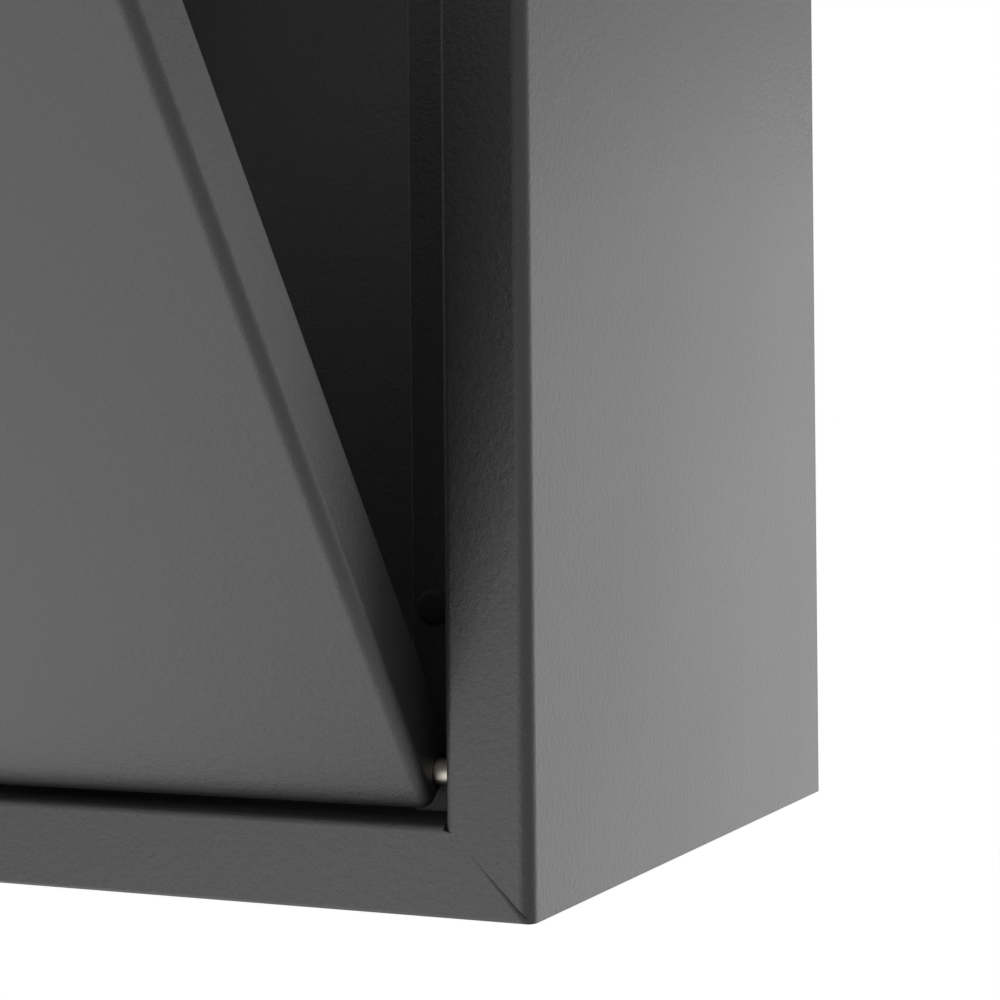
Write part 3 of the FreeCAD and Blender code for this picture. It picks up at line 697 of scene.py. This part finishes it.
# --- lock ------------------------------------------------------------------------------------------------

def on_lock(points):
    """Points about the lock's axis, as (across, inwards from the leaf's face, up), on the open leaf."""
    return opened(np.asarray(points, float) + [0, LEAF_LOW[1], LOCK_Z])


def lock_turned(profile, sides, closed=False):
    """A part turned about the lock's axis, its profile's distance counted inwards from the leaf's face."""
    ends = on_lock([[0, 0, 0], [0, 1, 0]])
    return turned_mesh(profile, ends[0], ends[1] - ends[0], sides, closed)


def plate_mesh(outline, low, high, place):
    """A flat plate: an outline in (u, v) at two distances, placed by a function of all three."""
    n = len(outline)
    flat = [place(outline[:, 0], outline[:, 1], np.full(n, w)) for w in (low, high)]
    faces = grid_faces(2, n, wrap_columns=True) + [list(range(n))[::-1], list(range(n, 2 * n))]
    return np.concatenate(flat), faces


class SAFE_OT_lock(bpy.types.Operator):
    """Lock: rim, barrel, nut, plug, key, crank, bolt bar, bolts and their guides"""
    bl_idname = "safe.lock"
    bl_label = "Lock"

    def execute(self, context):
        sides = context.scene.safe_leaf.sides
        chrome = material("lock_chrome")
        rim_low, rim_high = shut_box("lock_rim")
        rise, rim, bore = rim_high[1] - rim_low[1], (rim_high[0] - rim_low[0]) / 2, 6 * MM
        profile = [(0, bore), (-rise + 0.3 * MM, bore), (-rise, bore + 0.3 * MM), (-rise, bore + 1.4 * MM),
                   (-rise + 0.35 * MM, bore + 1.8 * MM), (-rise + 0.35 * MM, bore + 2.2 * MM),
                   (-rise, bore + 2.6 * MM), (-rise, rim - 1.6 * MM), (-rise + 0.4 * MM, rim - 0.6 * MM),
                   (-0.7 * MM, rim), (0, rim)]
        ring = lock_turned(profile, sides, closed=True)
        piece = add_piece("rim_ring", *ring, "leaf", chrome, "lock_chrome", 30)
        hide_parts("lock_rim")

        length, radius = LOCK_HIGH[1] - LOCK_LOW[1], (LOCK_HIGH[0] - LOCK_LOW[0]) / 2
        along = np.linspace(1.5 * MM, length - 0.8 * MM, 120)
        thread = radius - 0.5 * MM * np.abs((along / MM) % 1.0 - 0.5) * 2 * (along > 8 * MM)
        profile = np.concatenate([[(0, bore), (0, radius)], np.stack([along, thread], -1),
                                  [(length, radius - 0.8 * MM), (length, bore)]])
        barrel = lock_turned(profile, sides, closed=True)
        piece = add_piece("threaded_barrel", *barrel, "leaf", chrome, "lock_chrome")
        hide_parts("lock_barrel")

        dress("lock_plug", "lock_brass", 0.15 * MM)
        dress("lock_nut", "zinc_steel", 0.4 * MM)

        low, high = shut_box("key")
        half = (high[0] - low[0]) / 2
        bow = 11 * MM
        neck = low[1] + 2 * bow - LEAF_LOW[1]
        t = np.linspace(-2.62, 2.62, 41)
        ring = np.stack([neck - bow - bow * np.cos(t), bow * 0.96 * np.sin(t)], -1)
        tip = high[1] - LEAF_LOW[1]
        blade = np.array([(neck, 3.4 * MM), (tip - 2.4 * MM, 3.4 * MM), (tip, 1.2 * MM), (tip, -1.2 * MM)])
        bits = np.linspace(tip - 2.4 * MM, neck + 6 * MM, 9)
        cuts = -3.4 * MM + MM * np.array([0, 1.3, 0.3, 1.6, 0.9, 0.2, 1.2, 0.5, 0])
        outline = np.concatenate([ring[::-1], blade, np.stack([bits, cuts], -1), [(neck, -3.4 * MM)]])
        key_mesh = plate_mesh(outline, -half, half, lambda u, v, w: on_lock(np.stack([w, u, v], -1)))
        key = add_piece("cut_key", *key_mesh, "plug", material("key_metal"), "key_metal")
        eye = on_lock([[-3 * MM, neck - 1.45 * bow, 0]])[0]
        cut_away(key, [turned_mesh([(0, 2.6 * MM), (6 * MM, 2.6 * MM)], eye, (1, 0, 0), 48)])
        ease = key.modifiers.new("ease", "BEVEL")
        ease.width = 0.2 * MM
        ease.segments = 2
        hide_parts("key")

        for node in ("lock_crank", "bolt_bar"):
            dress(node, "zinc_steel", 0.4 * MM)
        dress("crank_pin", "pin_steel", 0.3 * MM)
        for side in ("left", "right"):
            dress("bolt_guide_" + side, "zinc_steel", 0.6 * MM)
            low, high = shut_box("lock_bolt_" + side)
            radius = (high[0] - low[0]) / 2
            foot, head = opened(np.array([[(low[0] + high[0]) / 2, (low[1] + high[1]) / 2, z]
                                          for z in (low[2], high[2])]))
            profile = chamfered(high[2] - low[2], radius, 1.2 * MM)
            bolt = add_piece("bolt_" + side, *turned_mesh(profile, foot, head - foot, sides), "bolts",
                             material("pin_steel"), "zinc_steel")
            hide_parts("lock_bolt_" + side)
        return {"FINISHED"}


# --- stage -----------------------------------------------------------------------------------------------

def soft_box(name, place, aim, width, height, brightness):
    """A plain rectangular studio lamp turned to a point, its surface brightness times as bright as white."""
    lamp = bpy.data.lights.new(name, "AREA")
    lamp.shape = "RECTANGLE"
    lamp.size, lamp.size_y = width, height
    lamp.energy = brightness * math.pi * width * height
    obj = bpy.data.objects.new(name, lamp)
    obj.location = place
    obj.rotation_euler = (Vector(aim) - Vector(place)).to_track_quat("-Z", "Y").to_euler()
    obj.visible_camera = False
    bpy.context.scene.collection.objects.link(obj)


def studio_world(ambient):
    """White where it is looked at or mirrored, and dimmer as light, so that it doesn't flood the object."""
    world = bpy.data.worlds.new("studio")
    bpy.context.scene.world = world
    world.use_nodes = True
    tree = world.node_tree
    tree.nodes.clear()
    path = tree.nodes.new("ShaderNodeLightPath")
    looked_at = Value(tree, path.outputs["Is Camera Ray"]) + path.outputs["Is Glossy Ray"]
    looked_at = looked_at.math("ADD", path.outputs["Is Transmission Ray"]).math("MINIMUM", 1.0)
    strength = looked_at * (1 - ambient) + ambient
    background = tree.nodes.new("ShaderNodeBackground")
    background.inputs["Color"].default_value = (1, 1, 1, 1)
    tree.links.new(strength.socket, background.inputs["Strength"])
    output = tree.nodes.new("ShaderNodeOutputWorld")
    tree.links.new(background.outputs[0], output.inputs["Surface"])


def floor_finish():
    """Pale matt floor with a faint mottle. It looks white to the camera and still takes the object's shadow."""
    f = Finish("floor_white")
    mottle = f.noise(0.25, detail=2.0)
    tint = f.colours(mottle, (0.80, 0.80, 0.80), (0.83, 0.83, 0.83))
    f.set(Base_Color=tint, Roughness=0.9, Specular_IOR_Level=0.0)
    path = f.node("ShaderNodeLightPath")
    seen = Value(f.tree, path.outputs["Is Camera Ray"]).math("MAXIMUM", path.outputs["Is Glossy Ray"])
    glow = f.node("ShaderNodeEmission", Strength=seen * 0.95)
    both = f.tree.nodes.new("ShaderNodeAddShader")
    f.tree.links.new(f.shader.outputs[0], both.inputs[0])
    f.tree.links.new(glow.outputs[0], both.inputs[1])
    f.tree.links.new(both.outputs[0], f.tree.nodes["Material Output"].inputs["Surface"])
    return f.material


class SAFE_OT_stage(bpy.types.Operator):
    """Floor, studio lamps, world and camera"""
    bl_idname = "safe.stage"
    bl_label = "Stage"

    def execute(self, context):
        scene, stage = context.scene, context.scene.safe_stage
        half = stage.floor / 2
        mesh = bpy.data.meshes.new("floor")
        z = -HALF_H - stage.drop
        corners = [(-half, -half, z), (half, -half, z), (half, half, z), (-half, half, z)]
        mesh.from_pydata(corners, [], [(0, 1, 2, 3)])
        floor = bpy.data.objects.new("floor", mesh)
        scene.collection.objects.link(floor)
        mesh.materials.append(floor_finish())
        studio_world(stage.ambient)

        soft_box("lamp_front", (-0.58, -2.1, -0.6), (0.12, FRONT_Y, -0.15), 1.2, 1.25, 1.8)
        soft_box("lamp_low", (-0.5, -0.75, -1.05), (0, -0.3, -0.05), 1.3, 1.3, 1.35)
        soft_box("lamp_right", (0.95, 1.5, -0.4), (HALF_W, FRONT_Y / 2, -0.15), 1.9, 1.5, 1.0)
        soft_box("lamp_top", (-0.3, -0.2, 1.9), (0, FRONT_Y, 0), 1.6, 1.6, 0.3)

        data = bpy.data.cameras.new("camera")
        data.lens, data.sensor_width = stage.lens, 36.0
        data.clip_start, data.clip_end = 0.01, 60.0
        camera = bpy.data.objects.new("camera", data)
        scene.collection.objects.link(camera)
        scene.camera = camera
        cy, sy = math.cos(stage.yaw), math.sin(stage.yaw)
        ahead = Vector((-sy * math.cos(stage.pitch), cy * math.cos(stage.pitch), -math.sin(stage.pitch)))
        right = Vector((cy, sy, 0))
        down = ahead.cross(right)
        cr, sr = math.cos(stage.roll), math.sin(stage.roll)
        right, down = right * cr + down * sr, down * cr - right * sr
        camera.matrix_world = Matrix.Translation(
            Vector((HALF_W, FRONT_Y, -HALF_H)) + Vector(stage.camera_offset)
        ) @ Matrix((right, -down, -ahead)).transposed().to_4x4()
        scene.view_settings.view_transform = "Standard"
        return {"FINISHED"}


STEPS = (SAFE_OT_case, SAFE_OT_mat, SAFE_OT_leaf, SAFE_OT_hinge, SAFE_OT_stays, SAFE_OT_lock, SAFE_OT_stage)


class SAFE_PT_panel(bpy.types.Panel):
    """Buttons for the safe's pieces and stage, and the sizes and finishes behind them"""
    bl_label = "Wall safe"
    bl_idname = "SAFE_PT_panel"
    bl_space_type = "VIEW_3D"
    bl_region_type = "UI"
    bl_category = "Safe"

    def draw(self, context):
        for step in STEPS:
            self.layout.operator(step.bl_idname)
        for name, group in GROUPS.items():
            box = self.layout.box()
            for field in group.__annotations__:
                box.prop(getattr(context.scene, name), field)


def register():
    """Register the groups, the operators and the panel."""
    for group in GROUPS.values():
        bpy.utils.register_class(group)
    for name, group in GROUPS.items():
        setattr(bpy.types.Scene, name, PointerProperty(type=group))
    for step in (*STEPS, SAFE_PT_panel):
        bpy.utils.register_class(step)


def unregister():
    """Take the classes away again, last first."""
    for step in (SAFE_PT_panel, *reversed(STEPS)):
        bpy.utils.unregister_class(step)
    for name in GROUPS:
        delattr(bpy.types.Scene, name)
    for group in reversed(list(GROUPS.values())):
        bpy.utils.unregister_class(group)


def main():
    """Build everything in order."""
    register()
    for step in STEPS:
        group, name = step.bl_idname.split(".")
        getattr(getattr(bpy.ops, group), name)()


if __name__ == "__main__":
    main()
